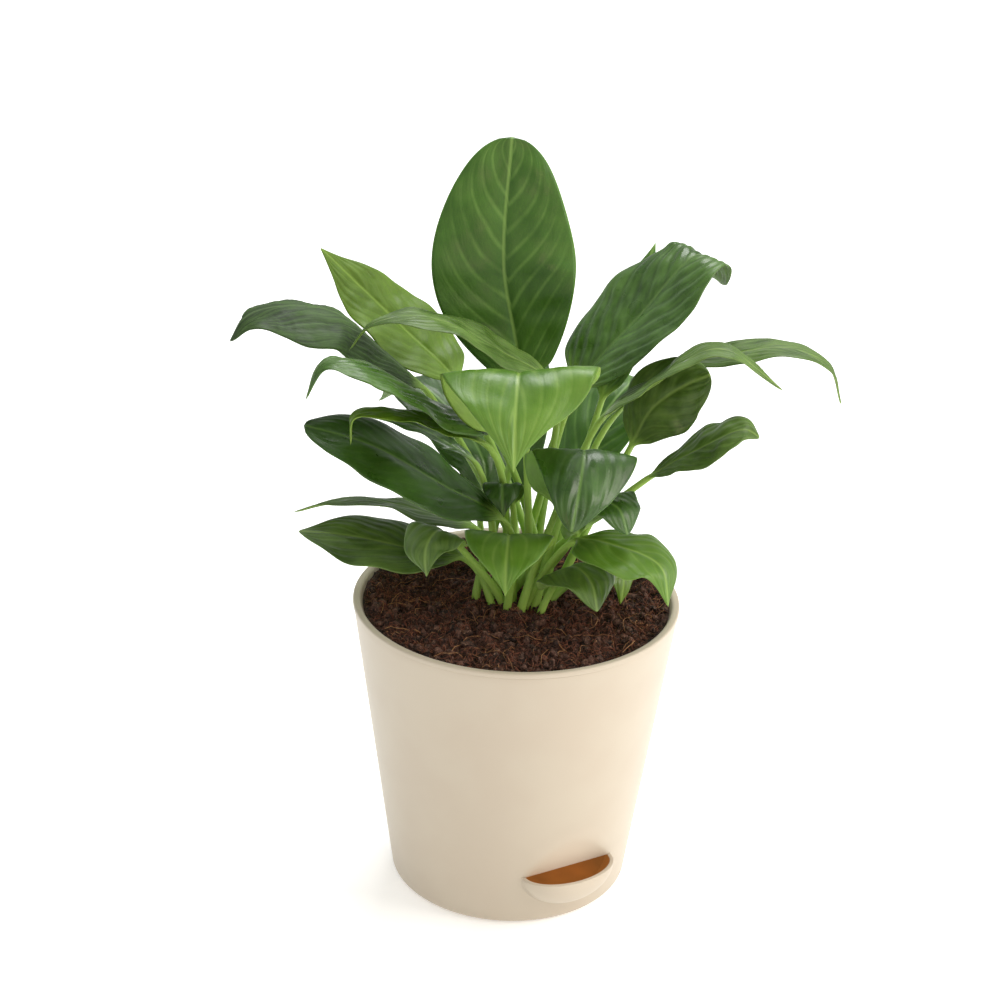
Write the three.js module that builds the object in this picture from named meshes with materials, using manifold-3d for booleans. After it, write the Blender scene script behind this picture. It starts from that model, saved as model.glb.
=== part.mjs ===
// A potted peace lily: an ivory self-watering planter, its inner pot filled with coir soil, and a crown of
// arching leaves, each standing on its own stalk. Millimetres, +Z up. The origin is the centre of the
// planter's base, and the watering mouth faces -Y.
import * as THREE from 'three';
import { mergeVertices } from 'three/addons/utils/BufferGeometryUtils.js';
import Module from 'manifold-3d';

const wasm = await Module();
wasm.setup();

// ---- Driving dimensions -------------------------------------------------------------------------------

const POT_HEIGHT = 146.6; // table to the top of the inner pot's lip
const RIM_RADIUS = 77.5; // the outer wall's cone, carried up to the full height
const BASE_RADIUS = 57.3; // the same cone at the table
const WALL = 2;
const FOOT_ROUND = 4; // radius of the bottom corner
const POT_SIDES = 48;

const LIP_DROP = 2.4; // height of the inner pot's lip, which sits on the outer wall
const LIP_PROUD = 0.6;
const LIP_EDGE = 0.8; // the small slope that breaks the lip's edges
const SEAT_GAP = 0.3;

const MOUTH_HEIGHT = 28.4; // table to the straight upper edge of the mouth
const MOUTH_HALF = 22.4; // half of the mouth's width
const MOUTH_REACH = 70; // axis to the inner edge of the scoop's lip
const SCOOP_DEPTH = 15.5; // mouth's edge down to the bottom of the scoop
const SCOOP_WALL = 2;
const FACET_RISE = 20; // height of the flat pressed in above the mouth

const INNER_WALL = 1.5;
const INNER_FLOOR = 36; // table to the underside of the inner pot's floor
const INNER_FLOOR_RADIUS = 53.6;
const INNER_TOP_RADIUS = 75.1;
const FOOT_CUP_RADIUS = 15; // the wicking foot that stands in the water
const FOOT_CUP_BOTTOM = 4.5;
const SLOT_WIDTH = 4;
const SLOT_HEIGHT = 14;
const SLOT_MIDDLE = 16.5;
const DRAIN_RADIUS = 3;
const DRAIN_CIRCLE = 38;
const DRAINS = 8;

const SOIL_TOP = 143.8;
const SOIL_GAP = 0.3;
const SOIL_SIDES = 36;
const SOIL_RINGS = 6;
const SOIL_BUMP = 1.6;

const PLANT_TURN = -30; // degrees: the plant's own front is turned from the mouth about Z
const ROOT_DEPTH = 18; // how deep a stalk stands in the soil
const HOLE_GAP = 0.3;
const STALK = [2.4, 1.5]; // radius of a stalk at its root and its collar
const WAVE = 1.2; // how far a blade's margins wave
const DROOP = 0.15; // how far its margins fall from its fold, as a share of its half-width
const BLADE = 0.8; // thickness of a leaf
const BLADE_RINGS = 11;
const STALK_RINGS = 3;

// ---- Colours ------------------------------------------------------------------------------------------

const IVORY = { color: 0xe9dcc3, roughness: 0.45, metalness: 0 };
const COIR = { color: 0x3a241b, roughness: 0.95, metalness: 0 };
const LEAF = { color: 0x3c6426, roughness: 0.4, metalness: 0 };
const YOUNG_LEAF = { color: 0x6c9138, roughness: 0.4, metalness: 0 };

// ---- Small tools --------------------------------------------------------------------------------------

const rad = THREE.MathUtils.degToRad;
const mix = THREE.MathUtils.lerp;
const ease = THREE.MathUtils.smoothstep;

// A closed geometry as a solid that can be joined and cut.
function solid(geometry) {
  const bare = (geometry.index ? geometry.toNonIndexed() : geometry.clone());
  bare.deleteAttribute('normal');
  bare.deleteAttribute('uv');
  const merged = mergeVertices(bare, 1e-4);
  return new wasm.Manifold(new wasm.Mesh({
    numProp: 3,
    vertProperties: new Float32Array(merged.attributes.position.array),
    triVerts: new Uint32Array(merged.index.array),
  }));
}

// A solid back as a three.js geometry.
function geometryOf(body) {
  const mesh = body.getMesh();
  const geometry = new THREE.BufferGeometry();
  geometry.setAttribute('position', new THREE.BufferAttribute(new Float32Array(mesh.vertProperties), 3));
  geometry.setIndex(new THREE.BufferAttribute(new Uint32Array(mesh.triVerts), 1));
  return geometry;
}

function mesh(name, geometry, finish) {
  const made = new THREE.Mesh(geometry, new THREE.MeshStandardMaterial(finish));
  made.name = name;
  return made;
}

// A profile of [radius, height] pairs, turned about Z.
function lathe(profile, sides) {
  const turned = new THREE.LatheGeometry(profile.map(([r, z]) => new THREE.Vector2(r, z)), sides);
  return turned.rotateX(Math.PI / 2);
}

function moved(geometry, x, y, z) {
  return geometry.translate(x, y, z);
}

// ---- The planter --------------------------------------------------------------------------------------

const outerRadius = (z) => mix(BASE_RADIUS, RIM_RADIUS, z / POT_HEIGHT);
const WALL_TOP = POT_HEIGHT - LIP_DROP;
const FLOOR = WALL + 0.4; // the top of the planter's floor
const FAR = 200; // further than the planter reaches
const MOUTH_FLAT = Math.sqrt(outerRadius(MOUTH_HEIGHT) ** 2 - MOUTH_HALF ** 2); // axis to the mouth's flat
const FACET_TOP = MOUTH_HEIGHT + FACET_RISE;
const FACET_LEAN = (outerRadius(FACET_TOP) - MOUTH_FLAT) / FACET_RISE;

// Points of a round bottom corner, from the wall down to the base.
function cornerPoints(radius, round, steps) {
  return Array.from({ length: steps + 1 }, (_, i) => {
    const a = (i / steps) * Math.PI / 2;
    return [radius - round * (1 - Math.cos(a)), round * (1 - Math.sin(a))];
  });
}

// Everything on the axis' side of the leaning flat above the mouth, set back by a wall's thickness.
function behindFacet(setBack) {
  const y = (z) => -(MOUTH_FLAT + FACET_LEAN * (z - MOUTH_HEIGHT)) + setBack;
  const side = new THREE.Shape([
    [y(MOUTH_HEIGHT), MOUTH_HEIGHT], [y(POT_HEIGHT), POT_HEIGHT],
    [-FAR, POT_HEIGHT + 1], [-FAR, MOUTH_HEIGHT],
  ].map(([a, b]) => new THREE.Vector2(a, b)));
  const block = new THREE.ExtrudeGeometry(side, { depth: FAR, bevelEnabled: false });
  // The shape's X becomes Y and its Y becomes Z.
  block.applyMatrix4(new THREE.Matrix4().makeBasis(
    new THREE.Vector3(0, 1, 0), new THREE.Vector3(0, 0, 1), new THREE.Vector3(1, 0, 0)));
  return solid(moved(block, -FAR / 2, 0, 0));
}

// The lower half of an ellipsoid that hangs from the mouth's edge.
function scoop(extra) {
  const ball = new THREE.SphereGeometry(1, 32, 18);
  ball.scale(MOUTH_HALF + extra, MOUTH_REACH - MOUTH_FLAT + extra, SCOOP_DEPTH + extra);
  const cut = moved(new THREE.BoxGeometry(FAR, FAR, FAR), 0, 0, -FAR / 2);
  const half = solid(ball).intersect(solid(cut));
  return half.translate([0, -MOUTH_FLAT, MOUTH_HEIGHT]);
}

function outerPot() {
  const outside = solid(lathe([
    [0, WALL_TOP], [outerRadius(WALL_TOP), WALL_TOP],
    ...cornerPoints(outerRadius(FOOT_ROUND), FOOT_ROUND, 3), [0, 0],
  ].reverse(), POT_SIDES));
  const inside = solid(lathe([
    [0, WALL_TOP + 5], [outerRadius(WALL_TOP + 5) - WALL, WALL_TOP + 5],
    [outerRadius(FOOT_ROUND + 1) - WALL, FOOT_ROUND + 1],
    [outerRadius(0) - WALL - 2.5, FLOOR], [0, FLOOR],
  ].reverse(), POT_SIDES));
  const cavity = inside.subtract(behindFacet(WALL));
  return outside.add(scoop(SCOOP_WALL)).subtract(behindFacet(0)).subtract(cavity).subtract(scoop(0));
}

// The inner pot's outside, tapered from its floor to the lip.
function wallRadius(z) {
  return mix(INNER_FLOOR_RADIUS, INNER_TOP_RADIUS, (z - INNER_FLOOR) / (POT_HEIGHT - INNER_FLOOR));
}

function innerPot() {
  const lipRadius = RIM_RADIUS + LIP_PROUD;
  const lipUnder = WALL_TOP + SEAT_GAP;
  let cup = solid(lathe([
    [0, FOOT_CUP_BOTTOM + INNER_WALL], [FOOT_CUP_RADIUS - INNER_WALL - 1, FOOT_CUP_BOTTOM + INNER_WALL],
    [FOOT_CUP_RADIUS - INNER_WALL, INNER_FLOOR + INNER_WALL],
    [wallRadius(INNER_FLOOR) - INNER_WALL - 1, INNER_FLOOR + INNER_WALL],
    [wallRadius(POT_HEIGHT) - INNER_WALL, POT_HEIGHT - LIP_EDGE],
    [wallRadius(POT_HEIGHT) - INNER_WALL + LIP_EDGE, POT_HEIGHT],
    [lipRadius - LIP_EDGE, POT_HEIGHT], [lipRadius, POT_HEIGHT - LIP_EDGE], [lipRadius, lipUnder],
    [wallRadius(lipUnder), lipUnder], [wallRadius(INNER_FLOOR + 2), INNER_FLOOR + 2],
    [wallRadius(INNER_FLOOR) - 2, INNER_FLOOR],
    [FOOT_CUP_RADIUS, INNER_FLOOR], [FOOT_CUP_RADIUS - 1, FOOT_CUP_BOTTOM], [0, FOOT_CUP_BOTTOM],
  ].reverse(), POT_SIDES));
  for (let i = 0; i < DRAINS; i++) {
    const angle = ((i + 0.5) / DRAINS) * 2 * Math.PI;
    const drill = new THREE.CylinderGeometry(DRAIN_RADIUS, DRAIN_RADIUS, 10, 12).rotateX(Math.PI / 2);
    const [x, y] = [DRAIN_CIRCLE * Math.cos(angle), DRAIN_CIRCLE * Math.sin(angle)];
    cup = cup.subtract(solid(moved(drill, x, y, INNER_FLOOR)));
  }
  for (let i = 0; i < 4; i++) {
    const slot = new THREE.BoxGeometry(10, SLOT_WIDTH, SLOT_HEIGHT);
    moved(slot, FOOT_CUP_RADIUS - 1, 0, SLOT_MIDDLE).rotateZ((i + 0.5) * Math.PI / 2);
    cup = cup.subtract(solid(slot));
  }
  return cup;
}

// ---- The leaves ---------------------------------------------------------------------------------------

// Each leaf in the plant's own frame: x to its right, y to its back, z above the table.
// root: where the stalk leaves the soil. line: the collar, where the blade starts, and the midrib to the tip.
// width: the blade's greatest. bearing: the way the leaf leans, seen from above, 0 along +x and 90 along +y.
// turn: how far the blade is rolled about its midrib at the collar and the tip, its right side up. fold: how
// far its halves rise from the midrib there. widest: where along the blade. point: high for a long drawn-out
// tip, low for a blunt one. young: a pale young leaf. All angles are degrees.
const LEAVES = [
  { name: 'leaf_tall_back', root: [-17.9, 11.5],
    line: [[-1, 32, 235], [-11, 44, 298], [-9, 62, 353]],
    width: 69, bearing: 90, turn: [0, 0], fold: [20, 6], widest: 0.51, point: 0.5 },
  { name: 'leaf_right_upper', root: [7.2, 15.7],
    line: [[23, 33, 235], [55, 46, 275], [80, 61, 299], [91, 75, 282]],
    width: 62, bearing: 32, turn: [0, 0], fold: [20, 5], widest: 0.42, point: 0.5 },
  { name: 'leaf_right_hidden', root: [12.9, 19.8],
    line: [[37, 44, 228], [51, 70, 267], [62, 94, 294]],
    width: 26, bearing: 62, turn: [0, 0], fold: [15, 5] },
  { name: 'leaf_left_bright', root: [11.6, 26.7],
    line: [[-29, 48, 232], [-58, 61, 257], [-99, 71, 293]],
    width: 46, bearing: 170, turn: [15, 25], fold: [15, 5], widest: 0.4, point: 1, young: true },
  { name: 'leaf_left_arch', root: [-0.4, 19.1],
    line: [[15, 14, 246], [-9, 4, 268], [-43, -2, 286], [-69, -8, 284], [-79, -10, 272]],
    width: 42, bearing: 186, turn: [5, -12], fold: [10, 5], widest: 0.45, point: 1.5 },
  { name: 'leaf_left_dark', root: [6.3, 23.5],
    line: [[-43, 31, 234], [-65, 24, 259], [-88, 19, 280], [-116, 11, 284], [-128, 5, 280], [-134, 2, 270]],
    width: 55, bearing: 188, turn: [-3, 4], fold: [-10, -12], widest: 0.55, point: 0.85 },
  { name: 'leaf_left_mid', root: [14.9, 14.1],
    line: [[-13, 9, 226], [-42, -12, 251], [-72, -25, 273], [-89, -31, 274], [-96, -36, 258]],
    width: 48, bearing: 196, turn: [-10, -6], fold: [-5, -10], widest: 0.42 },
  { name: 'leaf_front_centre', root: [6.4, 0.9],
    line: [[2, -7, 230], [-2, -35, 274], [-3, -57, 264], [-3, -72, 242]],
    width: 72, bearing: 268, turn: [-28, 22], fold: [12, 5], widest: 0.42, point: 1.3, young: true },
  { name: 'leaf_right_long', root: [12.1, 6.6],
    line: [[39, 32, 220], [64, 38, 247], [92, 31, 260], [123, 22, 268], [141, 17, 261], [147, 12, 245]],
    width: 35, bearing: -4, turn: [0, 8], fold: [10, 5], widest: 0.66 },
  { name: 'leaf_right_arch', root: [9.1, -4.5],
    line: [[35, 12, 231], [58, 6, 254], [88, 0, 275], [118, -6, 258]],
    width: 35, bearing: -12, turn: [5, 5], fold: [12, 5], widest: 0.4 },
  { name: 'leaf_right_round', root: [18.4, 7.5],
    line: [[51, 18, 217], [60, 18, 237], [73, 17, 249], [86, 14, 257]],
    width: 37, bearing: -8, turn: [-60, -63], fold: [4, 0], widest: 0.52, point: 0.55 },
  { name: 'leaf_right_low', root: [-3.2, 6.6],
    line: [[58, 0, 209], [81, -6, 228], [101, -10, 240], [108, -12, 237]],
    width: 41, bearing: -10, turn: [-8, -5], fold: [10, 5], widest: 0.6, point: 0.8 },
  { name: 'leaf_centre_right', root: [2.3, -9.8],
    line: [[17, -8, 195], [28, -30, 236], [26, -54, 226], [23, -66, 212]],
    width: 50, bearing: 284, turn: [8, 8], fold: [5, 0], widest: 0.45, point: 0.72 },
  { name: 'leaf_centre_small', root: [6.8, 6.9],
    line: [[27, -5, 182], [37, -21, 207], [45, -31, 208], [49, -39, 199]],
    width: 41, bearing: 318, turn: [0, 0], fold: [0, 0], widest: 0.44, point: 0.7 },
  { name: 'leaf_front_right', root: [4.5, -4],
    line: [[26, -14, 183], [46, -28, 188], [65, -38, 183], [69, -46, 167]],
    width: 44, bearing: -35, turn: [0, 0], fold: [5, 0], widest: 0.42 },
  { name: 'leaf_front_small', root: [11.8, -11.1],
    line: [[17, -9, 156], [26, -22, 174], [34, -34, 172], [37, -42, 161]],
    width: 40, bearing: -45, turn: [0, 0], fold: [5, 0], widest: 0.46, point: 0.85 },
  { name: 'leaf_front_pale', root: [15.7, 0.3],
    line: [[37, 8, 160], [44, 1, 168], [50, -5, 161], [49, -10, 149]],
    width: 21, bearing: -45, turn: [0, 0], fold: [0, 0], young: true },
  { name: 'leaf_front_low', root: [-4.2, -9.9],
    line: [[-2, -14, 169], [-4, -26, 191], [-5, -44, 187], [-5, -56, 174]],
    width: 42, bearing: 268, turn: [0, 0], fold: [10, 5], widest: 0.38, point: 1.3, young: true },
  { name: 'leaf_front_left', root: [-5.8, -4.4],
    line: [[-26, -12, 176], [-37, -22, 190], [-42, -32, 185], [-41, -40, 175]],
    width: 32, bearing: 235, turn: [0, 0], fold: [5, 0], widest: 0.45 },
  { name: 'leaf_left_low', root: [-11.5, -3.6],
    line: [[-23, 2, 163], [-56, 2, 170], [-79, 3, 174], [-104, 6, 174]],
    width: 46, bearing: 178, turn: [5, 10], fold: [8, 4], widest: 0.5, point: 0.9 },
  { name: 'leaf_left_thin', root: [-19.2, 2.4],
    line: [[-18, 12, 173], [-45, 15, 182], [-71, 16, 187], [-89, 16, 185], [-108, 16, 179]],
    width: 30, bearing: 180, turn: [-5, -20], fold: [5, 5], widest: 0.3 },
  { name: 'leaf_left_big', root: [-1.7, 1.2],
    line: [[-5, -2, 184], [-37, -7, 207], [-69, -11, 227], [-99, -15, 237]],
    width: 53, bearing: 188, turn: [11, 15], fold: [6, 4], widest: 0.52, point: 0.55 },
  { name: 'leaf_left_wavy', root: [-4.6, 26.7],
    line: [[-14, 2, 221], [-37, -2, 234], [-62, -10, 243], [-76, -18, 243], [-77, -24, 232]],
    width: 22, bearing: 190, turn: [-5, -5], fold: [5, 5] },
  { name: 'leaf_left_narrow', root: [-8.6, 1.6],
    line: [[-20, 13, 207], [-38, 26, 215], [-52, 33, 219], [-74, 35, 222]],
    width: 12, bearing: 170, turn: [0, 0], fold: [5, 5] },
  { name: 'leaf_inner_short', root: [-3.7, 12.3],
    line: [[-3, 8, 190], [-8, 2, 204], [-8, -5, 200], [-7, -10, 192]],
    width: 19, bearing: 262, turn: [0, 0], fold: [5, 5] },
  { name: 'leaf_back_right', root: [14.2, 34.3],
    line: [[22, 40, 167], [25, 50, 191], [55, 87, 224], [73, 113, 204]],
    width: 42, bearing: 57, turn: [0, 0], fold: [8, 5] },
  { name: 'leaf_back_left', root: [-14.2, 31.8],
    line: [[-19, 37, 170], [-18, 47, 195], [-53, 81, 222], [-73, 101, 203]],
    width: 43, bearing: 128, turn: [0, 0], fold: [8, 5] },
  { name: 'leaf_back_low', root: [0.8, 34.9],
    line: [[-2, 46, 166], [-5, 60, 189], [-1, 104, 226], [-1, 131, 204]],
    width: 35, bearing: 91, turn: [0, 0], fold: [8, 5] },
];

// Half-width of a blade, as a share of its greatest, at s from 0 at the collar to 1 at the tip.
function outline(s, leaf) {
  const along = Math.sin(Math.PI * s ** (Math.log(0.5) / Math.log(leaf.widest ?? 0.45)));
  return Math.max(along, 0) ** mix(0.8, leaf.point ?? 1.2, ease(s, 0.5, 1));
}

function leafLine(leaf) {
  const [x, y] = leaf.root;
  const root = new THREE.Vector3(x, y, SOIL_TOP);
  const points = leaf.line.map((p) => new THREE.Vector3(...p));
  const rise = points[0].clone().sub(root).normalize().multiplyScalar(0.4).add(new THREE.Vector3(0, 0, 1));
  const deep = root.clone().addScaledVector(rise.normalize(), -ROOT_DEPTH);
  const curve = new THREE.CatmullRomCurve3([deep, root, ...points], false, 'centripetal');
  const steps = 60 * (points.length + 1);
  const lengths = curve.getLengths(steps);
  return { curve, collar: lengths[120] / lengths[steps], length: lengths[steps] };
}

// One ring of ten points round the leaf's line: round on the stalk, flat and folded on the blade.
const ACROSS = [-1, -0.5, 0, 0.5, 1];
function ring(leaf, line, u) {
  const s = Math.max(0, (u - line.collar) / (1 - line.collar));
  const centre = line.curve.getPointAt(u);
  const along = line.curve.getTangentAt(u);
  const b = rad(leaf.bearing);
  const level = new THREE.Vector3(Math.sin(b), -Math.cos(b), 0);
  const side = level.addScaledVector(along, -level.dot(along)).normalize();
  const up = side.clone().cross(along);
  const turn = rad(mix(leaf.turn[0], leaf.turn[1], s));
  const right = side.clone().multiplyScalar(Math.cos(turn)).addScaledVector(up, Math.sin(turn));
  const face = up.clone().multiplyScalar(Math.cos(turn)).addScaledVector(side, -Math.sin(turn));
  const half = (leaf.width / 2) * outline(s, leaf);
  const fold = rad(mix(leaf.fold[0], leaf.fold[1], s));
  const stalk = mix(...(leaf.stalk ?? STALK), Math.min(1, u / line.collar));
  const blend = ease(s, 0.0, 0.14);
  const point = (across, sign, index) => {
    const spread = half * across * Math.cos(fold);
    const lift = half * (Math.abs(across) * Math.sin(fold) - DROOP * across * across);
    const phase = 2.5 * s + (across > 0 ? 0.3 : 0);
    const wave = WAVE * Math.sin(2 * Math.PI * phase) * across * across * Math.sin(Math.PI * s);
    const midrib = sign < 0 && across === 0 ? 1.1 * (1 - s) : 0;
    const flat = [spread, lift + wave + sign * BLADE / 2 - midrib];
    const angle = rad(162 - 36 * index);
    const round = [stalk * Math.cos(angle), stalk * Math.sin(angle)];
    return centre.clone()
      .addScaledVector(right, mix(round[0], flat[0], blend))
      .addScaledVector(face, mix(round[1], flat[1], blend));
  };
  return [
    ...ACROSS.map((a, i) => point(a, 1, i)),
    ...ACROSS.map((a, i) => point(-a, -1, i + 5)),
  ];
}

// Skins a run of rings, closed at each end to a point.
function skin(start, rings, end) {
  const count = rings[0].length;
  const points = [start, ...rings.flat(), end];
  const last = points.length - 1;
  const faces = [];
  for (let k = 0; k < count; k++) {
    const next = (k + 1) % count;
    faces.push(0, 1 + next, 1 + k, last, last - count + k, last - count + next);
    for (let i = 0; i + 1 < rings.length; i++) {
      const a = 1 + i * count + k;
      const b = 1 + i * count + next;
      // Both faces of a blade are split along the same diagonals, so it keeps its thickness where it waves.
      if (k % 5 < 2) faces.push(a, b, b + count, a, b + count, a + count);
      else faces.push(a, b, a + count, b, b + count, a + count);
    }
  }
  const geometry = new THREE.BufferGeometry();
  geometry.setAttribute('position', new THREE.BufferAttribute(
    new Float32Array(points.flatMap((p) => [p.x, p.y, p.z])), 3));
  geometry.setIndex(faces);
  return geometry;
}

const stalkStations = (line) => Array.from({ length: STALK_RINGS }, (_, i) => (
  (i / STALK_RINGS) * line.collar));
const bladeStations = (line) => Array.from({ length: BLADE_RINGS + 1 }, (_, i) => (
  mix(line.collar, 1, (i / BLADE_RINGS) * 0.975)));

function leafGeometry(leaf) {
  const line = leafLine(leaf);
  const rings = [...stalkStations(line), ...bladeStations(line)].map((u) => ring(leaf, line, u));
  return skin(line.curve.getPointAt(0), rings, line.curve.getPointAt(1));
}

// ---- The soil -----------------------------------------------------------------------------------------

// A gentle lumpy surface, lower at the rim and heaped a little round the crown.
function soilHeight(x, y) {
  const lumps = Math.sin(x * 0.21 + 1) * Math.cos(y * 0.17) + 0.6 * Math.sin(x * 0.43 - y * 0.37)
    + 0.4 * Math.cos(x * 0.71 + y * 0.59);
  return SOIL_TOP + SOIL_BUMP * 0.5 * lumps;
}

function soilBody() {
  const radiusAt = (z) => wallRadius(z) - INNER_WALL - SOIL_GAP - 0.4;
  const floor = INNER_FLOOR + INNER_WALL + SOIL_GAP;
  const plug = lathe([
    ...Array.from({ length: SOIL_RINGS }, (_, i) => [(radiusAt(SOIL_TOP) * i) / (SOIL_RINGS - 1), SOIL_TOP]),
    [radiusAt(floor) - 1.2, floor], [FOOT_CUP_RADIUS - INNER_WALL - SOIL_GAP, floor],
    [FOOT_CUP_RADIUS - INNER_WALL - SOIL_GAP - 1.2, FOOT_CUP_BOTTOM + INNER_WALL + SOIL_GAP],
    [0, FOOT_CUP_BOTTOM + INNER_WALL + SOIL_GAP],
  ].reverse(), SOIL_SIDES);
  const spots = plug.attributes.position;
  for (let i = 0; i < spots.count; i++) {
    if (spots.getZ(i) > SOIL_TOP - 1) spots.setZ(i, soilHeight(spots.getX(i), spots.getY(i)));
  }
  return solid(plug);
}

// The hole that a stalk stands in: its own rings, a little wider, from under its end to above the soil.
function stalkHole(leaf) {
  const line = leafLine(leaf);
  const wide = { ...leaf, stalk: (leaf.stalk ?? STALK).map((r) => r + 1.3 * HOLE_GAP) };
  const rings = stalkStations(line).map((u) => ring(wide, line, u));
  const down = line.curve.getTangentAt(0).multiplyScalar(-2 * HOLE_GAP);
  rings[0].forEach((p) => p.add(down));
  const [low, high] = [rings[0], rings.at(-1)].map(
    (r) => r.reduce((sum, p) => sum.add(p), new THREE.Vector3()).divideScalar(r.length));
  return solid(skin(low, rings, high).rotateZ(rad(PLANT_TURN)));
}

// ---- Assembly -----------------------------------------------------------------------------------------

const pottedPlant = new THREE.Group();
pottedPlant.add(mesh('outer_pot', geometryOf(outerPot()), IVORY));
pottedPlant.add(mesh('inner_pot', geometryOf(innerPot()), IVORY));

const soil = LEAVES.reduce((body, leaf) => body.subtract(stalkHole(leaf)), soilBody());
pottedPlant.add(mesh('soil', geometryOf(soil), COIR));

const plant = new THREE.Group();
plant.rotation.z = rad(PLANT_TURN);
for (const leaf of LEAVES) {
  plant.add(mesh(leaf.name, leafGeometry(leaf), leaf.young ? YOUNG_LEAF : LEAF));
}
pottedPlant.add(plant);

export default pottedPlant;
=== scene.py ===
# %% [markdown]
# # A potted peace lily
# This lesson dresses a finished CAD model of a young peace lily in a self-watering planter. The CAD gives
# each piece its size and place. Here each leaf gets its pleats, veins and sheen, the soil its coir
# fibres, and the planter its soft moulded edges. Everything is in metres, +Z up, with the planter's
# watering mouth facing -Y.

# %% Load the frame
import math
import random
from functools import partial

import bpy
import numpy as np
from mathutils import Matrix, Vector, noise


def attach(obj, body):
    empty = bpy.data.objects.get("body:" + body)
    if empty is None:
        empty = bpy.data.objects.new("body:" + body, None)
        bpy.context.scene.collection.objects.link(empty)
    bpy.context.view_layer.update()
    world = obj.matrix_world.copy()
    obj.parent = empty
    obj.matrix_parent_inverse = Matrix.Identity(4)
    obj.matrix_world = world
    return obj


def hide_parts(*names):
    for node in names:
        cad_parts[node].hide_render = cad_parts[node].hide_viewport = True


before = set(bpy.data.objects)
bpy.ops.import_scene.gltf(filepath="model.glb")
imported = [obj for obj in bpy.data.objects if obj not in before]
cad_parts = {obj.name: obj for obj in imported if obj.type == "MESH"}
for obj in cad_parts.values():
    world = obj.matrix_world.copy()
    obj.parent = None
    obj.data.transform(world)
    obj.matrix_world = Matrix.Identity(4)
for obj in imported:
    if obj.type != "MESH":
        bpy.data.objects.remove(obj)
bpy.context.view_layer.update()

# %% [markdown]
# ## Working by hand in code
# An operator acts on whatever is selected, so small helpers select one object, and edit it or apply a
# modifier to it. Sizes are written in millimetres, as on the drawing, and `MM` turns them into metres.

# %% Helpers for selecting and editing
MM = 0.001
PLANT_TURN = math.radians(-30)  # the plant's own front is turned from the mouth by this much
TO_PART = np.array(Matrix.Rotation(PLANT_TURN, 3, "Z"))  # turns the plant's own frame to the part's


def select_only(piece):
    if bpy.context.object and bpy.context.object.mode != "OBJECT":
        bpy.ops.object.mode_set(mode="OBJECT")
    bpy.ops.object.select_all(action="DESELECT")
    piece.select_set(True)
    bpy.context.view_layer.objects.active = piece


def edit_all(piece):
    select_only(piece)
    bpy.ops.object.mode_set(mode="EDIT")
    bpy.ops.mesh.select_all(action="SELECT")


def clean_up(piece, merge=0.01):
    """Welds points that lie within this many millimetres, and turns every face outwards."""
    edit_all(piece)
    bpy.ops.mesh.remove_doubles(threshold=merge * MM)
    bpy.ops.mesh.normals_make_consistent(inside=False)
    bpy.ops.object.mode_set(mode="OBJECT")


def apply_modifier(piece, kind, **settings):
    select_only(piece)
    made = piece.modifiers.new(kind.title(), kind)
    for key, value in settings.items():
        setattr(made, key, value)
    bpy.ops.object.modifier_apply(modifier=made.name)


print("the plant's front is turned by", round(math.degrees(PLANT_TURN)), "degrees")


# %% Helpers for meshes
def get_points(piece):
    flat = np.empty(len(piece.data.vertices) * 3)
    piece.data.vertices.foreach_get("co", flat)
    return flat.reshape(-1, 3)


def set_points(piece, points):
    piece.data.vertices.foreach_set("co", np.asarray(points, float).ravel())
    piece.data.update()


def sheet(name, columns, rows):
    """A flat square grid, and where each of its corners lies along it and up it, from 0 to 1."""
    bpy.ops.object.select_all(action="DESELECT")
    bpy.ops.mesh.primitive_grid_add(x_subdivisions=columns, y_subdivisions=rows, size=1)
    piece = bpy.context.object
    piece.name = piece.data.name = name
    flat = get_points(piece)
    return piece, flat[:, 0] + 0.5, flat[:, 1] + 0.5


def add_object(name, data):
    piece = bpy.data.objects.new(name, data)
    bpy.context.scene.collection.objects.link(piece)
    return piece


def dress(piece, *finishes):
    for finish in finishes:
        piece.data.materials.append(finish)


def mix(a, b, t):
    return a + (b - a) * t


def ease(x, low, high):
    """Goes smoothly from 0 where x is low to 1 where it is high."""
    t = np.clip((x - low) / (high - low), 0, 1)
    return t * t * (3 - 2 * t)


# %% [markdown]
# ## Camera, floor and light
# The photograph looks down on the plant at about 30 degrees from a little over a metre away, with a long
# lens, so the planter's sides hardly converge. The studio is plain white: a pale floor and a bright even
# sky. Of the three soft lights, the one on the right leaves the planter's left side a shade greyer, a
# weak warm one fills the front, and the strongest stands high at the back, where it glints on the leaves
# that lean towards it.

# %% Camera
CAMERA_ABOVE = math.radians(30.005)  # angle above the horizon
CAMERA_AWAY = 1.150  # metres from the point that it is first aimed at, on the planter's axis
AIM_HEIGHT = 0.075  # that point's height in metres
AIM_RIGHT, AIM_UP, ROLL = (math.radians(a) for a in (-0.478, 5.514, 1.702))  # the fine aim
FOCAL_LENGTH, SENSOR = 84.5, 36  # millimetres

ahead = Vector((0, math.cos(CAMERA_ABOVE), -math.sin(CAMERA_ABOVE)))
place = Vector((0, 0, AIM_HEIGHT)) - ahead * CAMERA_AWAY
right = Vector((1, 0, 0))
ahead = (ahead + right * math.tan(AIM_RIGHT) + right.cross(ahead) * math.tan(AIM_UP)).normalized()
right = ahead.cross(Vector((0, 0, 1))).normalized()
up = right.cross(ahead).normalized()
right, up = (math.cos(ROLL) * right + math.sin(ROLL) * up, math.cos(ROLL) * up - math.sin(ROLL) * right)
bpy.ops.object.camera_add()
camera = bpy.context.object
pose = Matrix.Translation(place) @ Matrix((right, up, -ahead)).transposed().to_4x4()
camera.matrix_world = Matrix.Rotation(PLANT_TURN, 4, "Z") @ pose
camera.data.lens, camera.data.sensor_width = FOCAL_LENGTH, SENSOR
camera.data.clip_start, camera.data.clip_end = 0.05, 50
bpy.context.scene.camera = camera
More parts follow.
